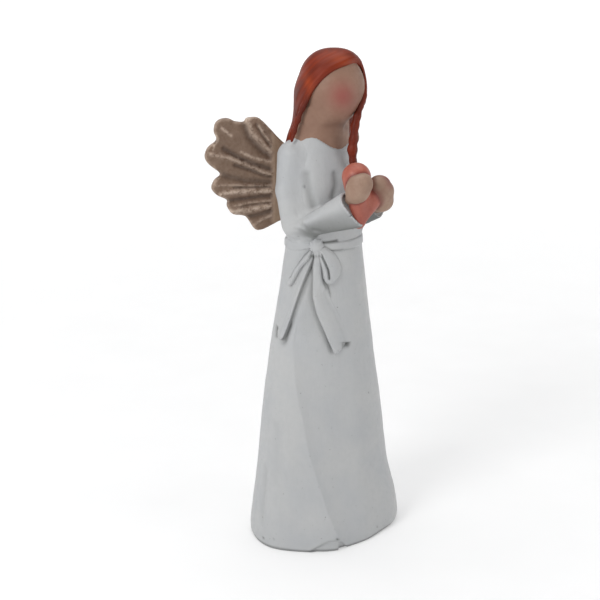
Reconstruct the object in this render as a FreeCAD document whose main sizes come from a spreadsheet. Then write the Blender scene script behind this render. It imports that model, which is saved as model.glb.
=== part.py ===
"""Resin angel figurine, 200 mm tall: a faceless girl in a long gown who holds a heart before her chest.

Frame: millimetres, +Z up, origin at the centre of the resting face. The figure faces -Y, so her right side
is the -X side. Each casting is a separate solid: the wings are pinned to the back, the head sits in the
gown on a neck spigot, the hands plug into the sleeves and cup the heart, and the ribbon lies on the gown.
"""

import FreeCAD, Part
import os

from FreeCAD import Placement, Rotation, Vector

doc = FreeCAD.newDocument("angel_figurine")
NODES = []

# ---------------------------------------------------------------- driving dimensions
DIMENSIONS = {
    # gown: one ellipse per height (low to high), half widths along X and Y
    "hem_up": 0.6, "hem_wide": 34.0, "hem_deep": 25.8,
    "ankle_up": 12.0, "ankle_wide": 32.3, "ankle_deep": 24.5,
    "calf_up": 24.0, "calf_wide": 30.3, "calf_deep": 23.0,
    "shin_up": 36.0, "shin_wide": 28.8, "shin_deep": 21.8,
    "knee_up": 48.0, "knee_wide": 27.3, "knee_deep": 20.7,
    "lap_up": 60.0, "lap_wide": 25.8, "lap_deep": 19.5,
    "thigh_up": 72.0, "thigh_wide": 23.8, "thigh_deep": 18.0,
    "seat_up": 84.0, "seat_wide": 21.9, "seat_deep": 16.6,
    "hip_up": 96.0, "hip_wide": 19.8, "hip_deep": 15.0,
    "belly_up": 108.0, "belly_wide": 17.8, "belly_deep": 13.4,
    "waist_up": 120.0, "waist_wide": 16.4, "waist_deep": 12.4,
    "ribs_up": 130.0, "ribs_wide": 15.8, "ribs_deep": 12.2,
    "chest_up": 140.0, "chest_wide": 15.6, "chest_deep": 12.2,
    "armpit_up": 150.0, "armpit_wide": 14.6, "armpit_deep": 11.4,
    "shoulder_up": 157.0, "shoulder_wide": 11.8, "shoulder_deep": 9.6,
    "collar_up": 163.0, "collar_wide": 7.4, "collar_deep": 7.4,
    # ribbon: skins over the gown, a thin one for sash and tails, a thicker one for the loops
    "ribbon_thick": 1.2, "loop_thick": 2.6,
    "sash_up": 120.4, "sash_tall": 4.6,
    "bow_azimuth": 50.0, "bow_up": 123.2, "bow_out": 14.0,
    "knot_wide": 6.0, "knot_tall": 7.0, "knot_deep": 6.4,
    # head and neck
    "skull_wide": 21.2, "skull_deep": 23.2, "skull_tall": 26.4,
    "head_up": 183.0, "head_fore": 2.9, "head_side": 1.5, "head_turn": 18.0, "head_tilt": 12.0,
    "neck_radius": 5.8, "neck_up": 155.0, "spigot_radius": 3.6, "spigot_length": 9.0,
    # hair: how far it stands out beyond the skull at the sides and above
    "hair_side": 2.6, "hair_top": 3.9, "face_window": 9.2,
    # arms, hands and heart
    "arm_radius": 6.0, "elbow_radius": 6.6, "cuff_tall": 15.0, "cuff_wide": 11.0,
    "wrist_radius": 2.6, "palm_long": 15.0, "palm_wide": 9.6, "palm_thick": 9.4,
    "heart_wide": 22.6, "heart_tall": 25.0, "heart_thick": 10.0,
    "heart_up": 147.4, "heart_fore": 28.6, "heart_side": 2.6, "heart_tilt": 9.0,
    # wings and the pins that hold them
    "wing_thick": 3.2, "wing_sweep": 25.0, "wing_back": 12.8, "wing_up": 143.0,
    "groove_wide": 1.0, "groove_deep": 0.7,
    "root_radius": 3.5, "root_gap": 0.1, "root_low": 129.5, "root_tall": 28.0,
    "pin_radius": 1.0, "pin_length": 11.0, "pin_gap": 16.0, "pin_start": 4.2,
    # felt pad let into the underside
    "pad_inset": 3.4, "pad_thick": 1.6,
}

sheet = doc.addObject("Spreadsheet::Sheet", "dimensions")
for row, (alias, value) in enumerate(DIMENSIONS.items(), start=1):
    sheet.set("A%d" % row, alias)
    sheet.set("B%d" % row, str(value))
    sheet.setAlias("B%d" % row, alias)
doc.recompute()


def size(alias):
    """A driving dimension, read from the sheet."""
    return float(sheet.get(alias))


def make(kind, name, place=None, **expressions):
    """An object with properties bound to the sheet: "Radius='pin_radius'" reads that cell."""
    item = doc.addObject(kind, name)
    for name_of_property, expression in expressions.items():
        item.setExpression(name_of_property.replace("__", "."), cells(expression))
    if place is not None:
        item.Placement = place
    return item


def cells(expression):
    """The expression with every alias written as a cell of the sheet."""
    words = expression.split(" ")
    return " ".join("dimensions." + word if word in DIMENSIONS else word for word in words)


def boolean(kind, name, base, tool):
    """One of Part::Cut and Part::Common."""
    item = doc.addObject("Part::" + kind, name)
    item.Base = base
    item.Tool = tool
    return item


def fuse(name, shapes):
    item = doc.addObject("Part::MultiFuse", name)
    item.Shapes = shapes
    return item


def trim(name, base, tools):
    """Base with every tool cut from it, one Part::Cut for each."""
    for number, tool in enumerate(tools):
        base = boolean("Cut", "%s_trim_%d" % (name, number), base, tool)
    return base


def loft(name, rings):
    item = doc.addObject("Part::Loft", name)
    item.Sections = rings
    item.Solid = True
    return item


def node(item, label):
    """Marks an object as one of the separate pieces of the figurine."""
    item.Label = label
    NODES.append(item)
    return item


def at(x, y, z, rotation=None):
    return Placement(Vector(x, y, z), rotation or Rotation())


def aim(start, end):
    """The placement at start whose Z axis points to end."""
    return Placement(start, Rotation(Vector(0, 0, 1), end - start))


# ---------------------------------------------------------------- gown
GOWN_LEVELS = (
    "hem", "ankle", "calf", "shin", "knee", "lap", "thigh", "seat",
    "hip", "belly", "waist", "ribs", "chest", "armpit", "shoulder", "collar",
)


def gown_loft(name, grow=""):
    """A loft through the gown's ellipses, all grown outwards by the thickness of that name."""
    more = " + " + grow if grow else ""
    rings = [
        make(
            "Part::Ellipse",
            "%s_%s" % (name, level),
            MajorRadius=level + "_wide" + more,
            MinorRadius=level + "_deep" + more,
            Placement__Base__z=level + "_up",
        )
        for level in GOWN_LEVELS
    ]
    return loft(name, rings)


gown_form = gown_loft("gown_form")
ribbon_skin = gown_loft("ribbon_skin", "ribbon_thick")
loop_skin = gown_loft("loop_skin", "loop_thick")

# ---------------------------------------------------------------- felt pad
pad_ring = make(
    "Part::Ellipse", "pad_ring",
    MajorRadius="hem_wide - pad_inset",
    MinorRadius="hem_deep - pad_inset",
)
felt_pad = make("Part::Extrusion", "felt_pad", LengthFwd="pad_thick")
felt_pad.Base = pad_ring
felt_pad.Dir = Vector(0, 0, 1)
felt_pad.Solid = True
node(felt_pad, "base_felt_pad")

# ---------------------------------------------------------------- head with its neck spigot
head_centre = Vector(size("head_side"), -size("head_fore"), size("head_up"))
head_turn = Rotation(Vector(0, 0, 1), -size("head_turn")) * Rotation(Vector(0, 1, 0), size("head_tilt"))
neck_foot = Vector(0, 0, size("neck_up"))

skull = make(
    "Part::Ellipsoid", "skull", Placement(head_centre, head_turn),
    Radius1="skull_tall / 2", Radius2="skull_wide / 2", Radius3="skull_deep / 2",
)
neck_line = aim(neck_foot, head_centre)
neck = make("Part::Cone", "neck", neck_line, Radius1="neck_radius + 0.6", Radius2="neck_radius")
neck.Height = (head_centre - neck_foot).Length
spigot = make(
    "Part::Cylinder", "spigot", at(0, 0, size("neck_up") - size("spigot_length") + 1),
    Radius="spigot_radius", Height="spigot_length",
)
head = node(fuse("head_form", [skull, neck, spigot]), "head")

# ---------------------------------------------------------------- wings: outline, grooves, root, pins
# Outline points (out from the spine, above the wing's centre): each feather runs from one notch over its tip
# to the next notch.
WING_START = (1.0, 12.5)
WING_TOP = (10.6, 17.6)
FEATHERS = (
    ((20.4, 29.0), (26.2, 25.0)),
    ((34.2, 27.6), (38.6, 18.0)),
    ((42.4, 13.2), (36.4, 7.0)),
    ((40.2, 0.6), (33.6, -4.4)),
    ((33.0, -9.0), (24.2, -12.4)),
    ((18.0, -17.4), (10.0, -15.4)),
)
WING_END = (1.0, -12.0)


def plane(body, role):
    return [feature for feature in body.Origin.OriginFeatures if feature.Role == role][0]


def sketch(body, name, curves, offset=0.0):
    """A sketch on the body's own XZ plane, that many millimetres towards -Y."""
    item = body.newObject("Sketcher::SketchObject", name)
    item.AttachmentSupport = [(plane(body, "XZ_Plane"), "")]
    item.MapMode = "FlatFace"
    item.AttachmentOffset = at(0, 0, offset)
    for curve in curves:
        item.addGeometry(curve, False)
    return item


def flat(point):
    return Vector(point[0], point[1], 0)


def smooth(points):
    """A closed curve through the points."""
    curve = Part.BSplineCurve()
    curve.interpolate([flat(point) for point in points], PeriodicFlag=True)
    return [curve]


def wing_outline():
    curves = [Part.LineSegment(flat(WING_START), flat(WING_TOP))]
    notch = WING_TOP
    for tip, following in FEATHERS:
        curves.append(Part.Arc(flat(notch), flat(tip), flat(following)))
        notch = following
    curves.append(Part.LineSegment(flat(notch), flat(WING_END)))
    curves.append(Part.LineSegment(flat(WING_END), flat(WING_START)))
    return curves


def groove(inner, outer):
    """A straight slot between two neighbouring feathers."""
    start, end = flat(inner), flat(outer)
    across = Vector(start.y - end.y, end.x - start.x, 0).normalize() * size("groove_wide") / 2
    corners = [start - across, end - across, end + across, start + across]
    return [Part.LineSegment(corners[i], corners[(i + 1) % 4]) for i in range(4)]


wing_body = doc.addObject("PartDesign::Body", "wing_plate")
outline_sketch = sketch(wing_body, "wing_outline", wing_outline())
wing_pad = wing_body.newObject("PartDesign::Pad", "wing_pad")
wing_pad.Profile = outline_sketch
wing_pad.SideType = "Symmetric"
wing_pad.setExpression("Length", cells("wing_thick"))
wing_body.Tip = wing_pad
doc.recompute()
before = wing_pad.Shape.Volume
for number, (tip, notch) in enumerate(FEATHERS[:-1]):
    root = (notch[0] * 0.34, notch[1] * 0.46)
    rim = (notch[0] * 0.985, notch[1] * 0.985)
    for face, front in (("front", 1), ("back", -1)):
        depth = front * size("wing_thick") / 2
        slot_sketch = sketch(wing_body, "%s_groove_%d_line" % (face, number), groove(root, rim), depth)
        slot = wing_body.newObject("PartDesign::Pocket", "%s_groove_%d" % (face, number))
        slot.Profile = slot_sketch
        slot.Reversed = front < 0
        slot.setExpression("Length", cells("groove_deep"))
        wing_body.Tip = slot
        doc.recompute()
        assert slot.Shape.Volume < before - 1, slot.Name
        before = slot.Shape.Volume

# The sketch's X axis points to +X, so the plate is drawn for her left side and the right one is its mirror.
wing_turn = Rotation(Vector(0, 0, 1), size("wing_sweep"))
wing_body.Placement = at(0, size("wing_back"), size("wing_up"), wing_turn)
root_bar = make(
    "Part::Cylinder", "root_bar",
    at(size("root_radius") + size("root_gap"), size("wing_back"), size("root_low")),
    Radius="root_radius", Height="root_tall",
)
wing_form = fuse("wing_form", [wing_body, root_bar])

pins = [
    make(
        "Part::Cylinder", "pin_%d" % number,
        at(side * (size("root_radius") + size("root_gap")), size("pin_start"),
           size("wing_up") + level * size("pin_gap") / 2, Rotation(Vector(1, 0, 0), -90)),
        Radius="pin_radius", Height="pin_length",
    )
    for number, (side, level) in enumerate(((-1, -1), (-1, 1), (1, -1), (1, 1)))
]
wing_pins = doc.addObject("Part::Compound", "wing_pins")
wing_pins.Links = pins
node(wing_pins, "wing_pins")

wing_left = node(trim("wing_left", wing_form, [gown_form, wing_pins]), "wing_left")
mirror_wing = doc.addObject("Part::Mirroring", "mirror_wing")
mirror_wing.Source = wing_form
mirror_wing.Normal = Vector(1, 0, 0)
wing_right = node(trim("wing_right", mirror_wing, [gown_form, wing_pins]), "wing_right")

# ---------------------------------------------------------------- sleeves and hands
# Her right arm is held a little higher than her left one.
ARMS = {
    "right": {
        "shoulder": Vector(-13.4, 0.8, 152.6), "elbow": Vector(-16.2, -3.0, 132.2),
        "cuff": Vector(-7.8, -26.4, 140.6), "palm": Vector(-9.4, -31.6, 149.4),
    },
    "left": {
        "shoulder": Vector(13.4, 0.8, 152.6), "elbow": Vector(16.2, -3.0, 132.2),
        "cuff": Vector(8.0, -25.2, 138.8), "palm": Vector(7.4, -28.6, 146.4),
    },
}


def sleeve(side, arm):
    """Shoulder, upper arm and a bell-shaped forearm that hangs below the wrist."""
    shoulder_place = Placement(arm["shoulder"], Rotation())
    shoulder = make("Part::Sphere", "shoulder_" + side, shoulder_place, Radius="arm_radius")
    upper = make(
        "Part::Cone", "upper_arm_" + side, aim(arm["shoulder"], arm["elbow"]),
        Radius1="arm_radius", Radius2="elbow_radius",
    )
    upper.Height = (arm["elbow"] - arm["shoulder"]).Length
    elbow = make("Part::Sphere", "elbow_" + side, Placement(arm["elbow"], Rotation()), Radius="elbow_radius")
    along = (arm["cuff"] - arm["elbow"]).normalize()
    upright = Rotation(Vector(0, 0, 1).cross(along), Vector(), along, "ZYX")
    inner = make(
        "Part::Ellipse", "elbow_ring_" + side, Placement(arm["elbow"], upright),
        MajorRadius="elbow_radius", MinorRadius="elbow_radius * 0.98",
    )
    outer = make(
        "Part::Ellipse", "cuff_ring_" + side, Placement(arm["cuff"], upright),
        MajorRadius="cuff_tall / 2", MinorRadius="cuff_wide / 2",
    )
    forearm = loft("forearm_" + side, [inner, outer])
    return fuse("sleeve_form_" + side, [shoulder, upper, elbow, forearm])


def hand(side, arm):
    """A mitten whose wrist plugs into the cuff."""
    lean = Rotation(Vector(0, 0, 1), arm["palm"] - arm["cuff"])
    palm = make(
        "Part::Ellipsoid", "palm_" + side, Placement(arm["palm"], lean),
        Radius1="palm_long / 2", Radius2="palm_wide / 2", Radius3="palm_thick / 2",
    )
    start = arm["cuff"] + (arm["elbow"] - arm["cuff"]).normalize() * 4
    wrist = make("Part::Cylinder", "wrist_" + side, aim(start, arm["palm"]), Radius="wrist_radius")
    wrist.Height = (arm["palm"] - start).Length
    return fuse("hand_form_" + side, [palm, wrist])


sleeve_forms = {side: sleeve(side, arm) for side, arm in ARMS.items()}
hand_forms = {side: hand(side, arm) for side, arm in ARMS.items()}

# ---------------------------------------------------------------- heart
# Half of the outline from dip to tip, as shares of the half width and of the height above the tip.
HEART_HALF = (
    (0.0, 0.80), (0.20, 0.95), (0.50, 1.0), (0.83, 0.90),
    (1.0, 0.68), (0.86, 0.43), (0.50, 0.17), (0.14, 0.02),
)
# How the outline shrinks from the middle of the heart towards its front and back faces.
HEART_SLICES = (
    (-0.5, 0.50), (-0.40, 0.80), (-0.22, 0.95), (0.0, 1.0), (0.22, 0.95), (0.40, 0.80), (0.5, 0.50),
)


def heart_outline(share):
    """The closed heart curve, shrunk about its middle."""
    half_wide, tall = size("heart_wide") / 2, size("heart_tall")
    right = [(x * half_wide, (y - 0.55) * tall) for x, y in HEART_HALF]
    left = [(-x, y) for x, y in reversed(right[1:])]
    return smooth([(x * share, y * share) for x, y in right + left])


heart_body = doc.addObject("PartDesign::Body", "heart_body")
heart_sketches = [
    sketch(heart_body, "heart_slice_%d" % number, heart_outline(share), along * size("heart_thick"))
    for number, (along, share) in enumerate(HEART_SLICES)
]
heart_loft = heart_body.newObject("PartDesign::AdditiveLoft", "heart_loft")
heart_loft.Profile = heart_sketches[0]
heart_loft.Sections = heart_sketches[1:]
heart_body.Tip = heart_loft
heart_body.Placement = at(
    -size("heart_side"), -size("heart_fore"), size("heart_up"), Rotation(Vector(0, 1, 0), size("heart_tilt"))
)
for side, form in hand_forms.items():
    node(form, "hand_" + side)
heart = node(trim("heart", heart_body, list(hand_forms.values()) + list(sleeve_forms.values())), "heart")

# ---------------------------------------------------------------- hair
hair_dome = make(
    "Part::Ellipsoid", "hair_dome", Placement(head_centre + Vector(0, 1.2, 0), head_turn),
    Radius1="skull_tall / 2 + hair_top",
    Radius2="skull_wide / 2 + hair_side",
    Radius3="skull_deep / 2 + hair_side",
)
# Fall of hair down the back: half width, half depth and distance behind the spine at each height.
HAIR_FALL = (
    (186.0, 11.4, 9.6, 0.6), (175.0, 12.4, 9.0, 2.4), (164.0, 11.4, 5.6, 6.6), (155.0, 9.2, 3.0, 11.4),
)
fall_rings = []
for number, (level, half_wide, half_deep, back) in enumerate(HAIR_FALL):
    ring = make("Part::Ellipse", "fall_ring_%d" % number, at(0.8, back, level))
    ring.MajorRadius = half_wide
    ring.MinorRadius = half_deep
    fall_rings.append(ring)
hair_fall = loft("hair_fall", fall_rings)
face_ahead = head_turn.multVec(Vector(0.05, -1, -0.16))
face_window = make(
    "Part::Cylinder", "face_window",
    aim(head_centre + head_turn.multVec(Vector(0.4, -2, -0.8)), head_centre + face_ahead * 10),
    Radius="face_window",
)
face_window.Height = 30
hair_form = fuse("hair_form", [hair_dome, hair_fall])
hair_cutters = [head, face_window, gown_form, wing_form, mirror_wing]
hair_cap = node(trim("hair_cap", hair_form, hair_cutters), "hair_cap")


def hair_lock(name, path):
    """A strand: a loft through circles, given as (x, y, z, radius)."""
    points = [Vector(*spot[:3]) for spot in path]
    rings = []
    for number, point in enumerate(points):
        before = points[max(number - 1, 0)]
        after = points[min(number + 1, len(points) - 1)]
        ring = make("Part::Circle", "%s_ring_%d" % (name, number), aim(point, point + (after - before)))
        ring.Radius = path[number][3]
        rings.append(ring)
    return loft(name, rings)


LOCKS = {
    "right": (
        (-9.8, -3.4, 182, 3.0), (-11.2, -3.4, 173, 2.8), (-12.0, -3.0, 166, 2.2), (-12.2, -2.0, 160.4, 1.3),
    ),
    "left": (
        (10.0, -5.0, 183, 3.0), (8.8, -6.9, 175, 3.0), (6.6, -10.0, 166.5, 2.7), (3.8, -13.4, 158.6, 1.9),
    ),
}
hair_locks = {}
for side, path in LOCKS.items():
    form = hair_lock("lock_form_" + side, path)
    cutters = [head, hair_dome, hair_fall, gown_form, sleeve_forms[side]]
    hair_locks[side] = node(trim("hair_lock_" + side, form, cutters), "hair_lock_" + side)

# ---------------------------------------------------------------- ribbon
bow_turn = Rotation(Vector(0, 0, 1), -size("bow_azimuth"))
bow_place = Placement(Vector(0, 0, size("bow_up")), bow_turn)
knot_form = make(
    "Part::Ellipsoid", "knot_form", bow_place.multiply(at(0, -size("bow_out"), 0)),
    Radius1="knot_tall / 2", Radius2="knot_wide / 2", Radius3="knot_deep / 2",
)
bow_knot = node(trim("bow_knot", knot_form, [gown_form]), "bow_knot")

sash_ring = make(
    "Part::Ellipse", "sash_ring", at(0, 0, size("sash_up")),
    MajorRadius="waist_wide + ribbon_thick",
    MinorRadius="waist_deep + ribbon_thick",
)
sash_disc = make("Part::Extrusion", "sash_disc", LengthFwd="sash_tall")
sash_disc.Base = sash_ring
sash_disc.Dir = Vector(0, 0, 1)
sash_disc.Solid = True
node(trim("sash_band", sash_disc, [gown_form, knot_form]), "sash_band")


def polygon(points):
    """Straight edges round the points."""
    corners = [flat(point) for point in points]
    return [Part.LineSegment(corners[i - 1], corners[i]) for i in range(len(corners))]


def ribbon_piece(name, curves, skin, tools):
    """The part of a skin that lies inside an outline drawn about the knot."""
    body = doc.addObject("PartDesign::Body", name + "_prism")
    outline = sketch(body, name + "_outline", curves)
    pad = body.newObject("PartDesign::Pad", name + "_pad")
    pad.Profile = outline
    pad.Length = 40
    body.Tip = pad
    body.Placement = bow_place
    cover = boolean("Common", name + "_cover", skin, body)
    return node(trim(name, cover, [gown_form] + tools), name)


# Outlines about the knot, seen from outside the gown: (towards her front, above the knot).
LOOP_REAR = ((-1.2, -1.4), (-3.4, -1.4), (-7.5, -7.4), (-11.2, -14.2), (-10.9, -16.0), (-9.0, -15.0),
             (-5.2, -8.2), (-2.2, -4.4))
LOOP_REAR_HOLLOW = ((-4.4, -4.6), (-7.6, -9.0), (-9.9, -13.6), (-7.2, -10.2), (-4.6, -5.6))
LOOP_FRONT = ((0.8, -0.4), (3.8, -1.2), (7.3, -5.3), (8.8, -11.9), (7.8, -16.6), (5.4, -16.8), (4.2, -13.6),
              (2.8, -8.6), (0.9, -3.4))
LOOP_FRONT_HOLLOW = ((3.2, -4.6), (5.6, -7.4), (6.6, -12.2), (6.2, -15.0), (5.2, -12.2), (4.0, -8.4))
TAIL_REAR = ((-1.0, -3.0), (-4.1, -5.5), (-7.2, -18.4), (-10.2, -28.0), (-12.8, -36.7), (-9.9, -38.1),
             (-6.4, -27.0), (-3.5, -17.3), (-0.6, -5.5))
TAIL_FRONT = ((-0.4, -3.0), (-1.2, -8.0), (-1.4, -21.6), (2.6, -32.4), (7.3, -43.6), (10.1, -40.5),
              (13.1, -40.1), (10.9, -34.3), (7.9, -26.2), (4.1, -18.3), (1.8, -8.0), (1.4, -3.0))

OVER_SASH = [bow_knot, sash_disc]
loop_rear = ribbon_piece("bow_loop_rear", smooth(LOOP_REAR) + smooth(LOOP_REAR_HOLLOW), loop_skin, OVER_SASH)
front_outline = smooth(LOOP_FRONT) + smooth(LOOP_FRONT_HOLLOW)
loop_front = ribbon_piece("bow_loop_front", front_outline, loop_skin, OVER_SASH)
UNDER_LOOPS = [bow_knot, loop_rear, loop_front]
tail_rear = ribbon_piece("ribbon_tail_rear", polygon(TAIL_REAR), ribbon_skin, UNDER_LOOPS)
ribbon_piece("ribbon_tail_front", polygon(TAIL_FRONT), ribbon_skin, UNDER_LOOPS + [tail_rear])

# ---------------------------------------------------------------- sleeves and gown, cut for their neighbours
for side, form in sleeve_forms.items():
    node(trim("sleeve_" + side, form, [gown_form, hand_forms[side]]), "sleeve_" + side)
node(trim("gown", gown_form, [felt_pad, head, wing_pins]), "gown")

# ---------------------------------------------------------------- checks and files
doc.recompute()
for item in doc.Objects:
    wrong = [word for word in item.State if word in ("Invalid", "Error")]
    assert not wrong, "%s is %s" % (item.Name, wrong)
os.makedirs("parts", exist_ok=True)
for item in NODES:
    shape = item.Shape
    print(item.Label, len(shape.Solids), round(shape.Volume, 1), shape.isValid())
    assert not shape.isNull() and shape.isValid(), item.Label
    shape.exportStep("parts/%s.step" % item.Label)
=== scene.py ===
"""Visual model of the resin angel figurine.

Every painted casting is sculpted as a distance field in millimetres and meshed: x to her left, -y the way she
faces, z up. The hidden wing pins and the felt pad keep their CAD shapes.
"""

import math

import bpy
import numpy as np
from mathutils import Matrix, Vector


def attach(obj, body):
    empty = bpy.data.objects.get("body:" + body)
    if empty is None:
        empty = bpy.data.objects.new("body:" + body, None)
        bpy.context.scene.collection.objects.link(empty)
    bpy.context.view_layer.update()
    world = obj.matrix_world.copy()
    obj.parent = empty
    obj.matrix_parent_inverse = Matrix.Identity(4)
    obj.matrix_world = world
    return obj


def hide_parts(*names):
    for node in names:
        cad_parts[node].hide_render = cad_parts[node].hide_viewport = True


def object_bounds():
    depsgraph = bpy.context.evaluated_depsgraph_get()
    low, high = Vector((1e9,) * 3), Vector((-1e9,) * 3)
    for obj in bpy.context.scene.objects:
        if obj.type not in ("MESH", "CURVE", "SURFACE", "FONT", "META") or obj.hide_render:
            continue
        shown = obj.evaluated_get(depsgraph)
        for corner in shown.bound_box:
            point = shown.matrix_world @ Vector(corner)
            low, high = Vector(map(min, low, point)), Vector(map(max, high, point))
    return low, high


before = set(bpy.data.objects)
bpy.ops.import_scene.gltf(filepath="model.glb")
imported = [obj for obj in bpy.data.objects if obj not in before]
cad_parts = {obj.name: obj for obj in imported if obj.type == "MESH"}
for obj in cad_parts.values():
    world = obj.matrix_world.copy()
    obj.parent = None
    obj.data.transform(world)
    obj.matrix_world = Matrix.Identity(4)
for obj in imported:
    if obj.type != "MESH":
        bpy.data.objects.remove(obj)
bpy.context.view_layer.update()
MM = 0.001
rng = np.random.default_rng(7)


# ------------------------------------------------------------------ small mathematics
def smoothstep(low, high, value):
    share = np.clip((value - low) / (high - low), 0.0, 1.0)
    return share * share * (3.0 - 2.0 * share)


def soft_min(first, second, blend):
    """The smaller of two distances, with a fillet of about that size where they meet."""
    mix = np.clip(0.5 + 0.5 * (second - first) / blend, 0.0, 1.0)
    return second * (1 - mix) + first * mix - blend * mix * (1 - mix)


def soft_max(first, second, blend):
    return -soft_min(-first, -second, blend)


def hump(offset, width=1.0):
    """A smooth hump, 1 in its middle."""
    return np.exp(-((offset / width) ** 2))


def turned(turn, degrees):
    """The turn past a bearing given in degrees, between minus and plus half a circle."""
    return np.angle(np.exp(1j * (turn - np.radians(degrees))))


def curve(table, value):
    """A smooth curve through the (position, height) rows of a table."""
    knots, heights = np.array(table, float).T
    slopes = np.gradient(heights, knots)
    value = np.clip(value, knots[0], knots[-1])
    index = np.clip(np.searchsorted(knots, value) - 1, 0, len(knots) - 2)
    span = knots[index + 1] - knots[index]
    t = (value - knots[index]) / span
    return (
        heights[index] * (1 + 2 * t) * (1 - t) ** 2
        + slopes[index] * span * t * (1 - t) ** 2
        + heights[index + 1] * t * t * (3 - 2 * t)
        + slopes[index + 1] * span * t * t * (t - 1)
    )


LATTICE = rng.random((24, 24, 24)) * 2 - 1


def noise(x, y, z, scale):
    """Smooth noise between -1 and 1 with bumps about that many millimetres across."""
    total = np.zeros(np.broadcast(x, y, z).shape)
    parts = []
    for axis in (x, y, z):
        value = np.asarray(axis, float) / scale + 300.37
        whole = np.floor(value).astype(int)
        part = value - whole
        parts.append((whole % 24, (whole + 1) % 24, part * part * (3 - 2 * part)))
    for i in (0, 1):
        for j in (0, 1):
            for k in (0, 1):
                weight = 1.0
                for corner, (_, _, part) in zip((i, j, k), parts):
                    weight = weight * (part if corner else 1 - part)
                total = total + weight * LATTICE[parts[0][i], parts[1][j], parts[2][k]]
    return total


def to_segment(point, start, end):
    """Distance to a segment and the share along it; points are tuples of coordinate arrays."""
    length = sum((b - a) ** 2 for a, b in zip(start, end))
    share = sum((p - a) * (b - a) for p, a, b in zip(point, start, end)) / length
    share = np.clip(share, 0.0, 1.0)
    gap = sum((p - a - share * (b - a)) ** 2 for p, a, b in zip(point, start, end))
    return np.sqrt(gap), share


def to_path(point, path):
    """Distance to a line through several points."""
    return np.min([to_segment(point, a, b)[0] for a, b in zip(path[:-1], path[1:])], axis=0)


def tube(point, path, radii, blend=1.5):
    """Distance to a round rod through the points, whose radius follows the list."""
    result = None
    for a, b, r1, r2 in zip(path[:-1], path[1:], radii[:-1], radii[1:]):
        gap, share = to_segment(point, a, b)
        gap = gap - (r1 + (r2 - r1) * share)
        result = gap if result is None else soft_min(result, gap, blend)
    return result


def inside_outline(u, v, outline):
    """Distance to the edge of a closed outline, positive inside."""
    corners = np.array(outline, float)
    gap = np.full(np.broadcast(u, v).shape, 1e9)
    odd = np.zeros(gap.shape, bool)
    for (u1, v1), (u2, v2) in zip(corners, np.roll(corners, -1, axis=0)):
        gap = np.minimum(gap, to_segment((u, v), (u1, v1), (u2, v2))[0])
        if v1 != v2:
            crosses = ((v1 > v) != (v2 > v)) & (u < (u2 - u1) * (v - v1) / (v2 - v1) + u1)
            odd ^= crosses
    return np.where(odd, gap, -gap)


def rounded(points, steps=6):
    """A closed outline smoothed through its points."""
    points = np.array(points, float)
    rows = []
    count = len(points)
    for i in range(count):
        p0, p1, p2, p3 = (points[(i + k) % count] for k in (-1, 0, 1, 2))
        for t in np.arange(steps) / steps:
            rows.append(
                0.5 * (2 * p1 + (p2 - p0) * t + (2 * p0 - 5 * p1 + 4 * p2 - p3) * t**2
                       + (3 * p1 - p0 - 3 * p2 + p3) * t**3)
            )
    return np.array(rows)


def ellipsoid(x, y, z, radii):
    """Distance to an ellipsoid about the origin, close to exact near its surface."""
    a, b, c = radii
    k0 = np.sqrt((x / a) ** 2 + (y / b) ** 2 + (z / c) ** 2)
    k1 = np.sqrt((x / a**2) ** 2 + (y / b**2) ** 2 + (z / c**2) ** 2)
    return k0 * (k0 - 1.0) / np.maximum(k1, 1e-6)


class Table:
    """A function of two coordinates, sampled once on a grid and read back between the samples."""

    def __init__(self, function, low, high, step):
        self.low, self.step = low, step
        axes = [np.arange(a, b + d, d) for a, b, d in zip(low, high, step)]
        self.values = function(*np.meshgrid(*axes, indexing="ij"))

    def __call__(self, u, v):
        places = []
        for value, low, step, count in zip((u, v), self.low, self.step, self.values.shape):
            place = np.clip((value - low) / step, 0, count - 1.001)
            whole = place.astype(int)
            places.append((whole, place - whole))
        (i, a), (j, b) = places
        grid = self.values
        near = grid[i, j] * (1 - b) + grid[i, j + 1] * b
        far = grid[i + 1, j] * (1 - b) + grid[i + 1, j + 1] * b
        return near * (1 - a) + far * a


def outline_table(outline, margin=4.0, step=0.12):
    """Distance inside an outline as a table; far outside it stays at the value on the table's edge."""
    corners = np.array(outline, float)
    low, high = corners.min(axis=0) - margin, corners.max(axis=0) + margin
    return Table(lambda u, v: inside_outline(u, v, corners), low, high, (step, step))


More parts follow.
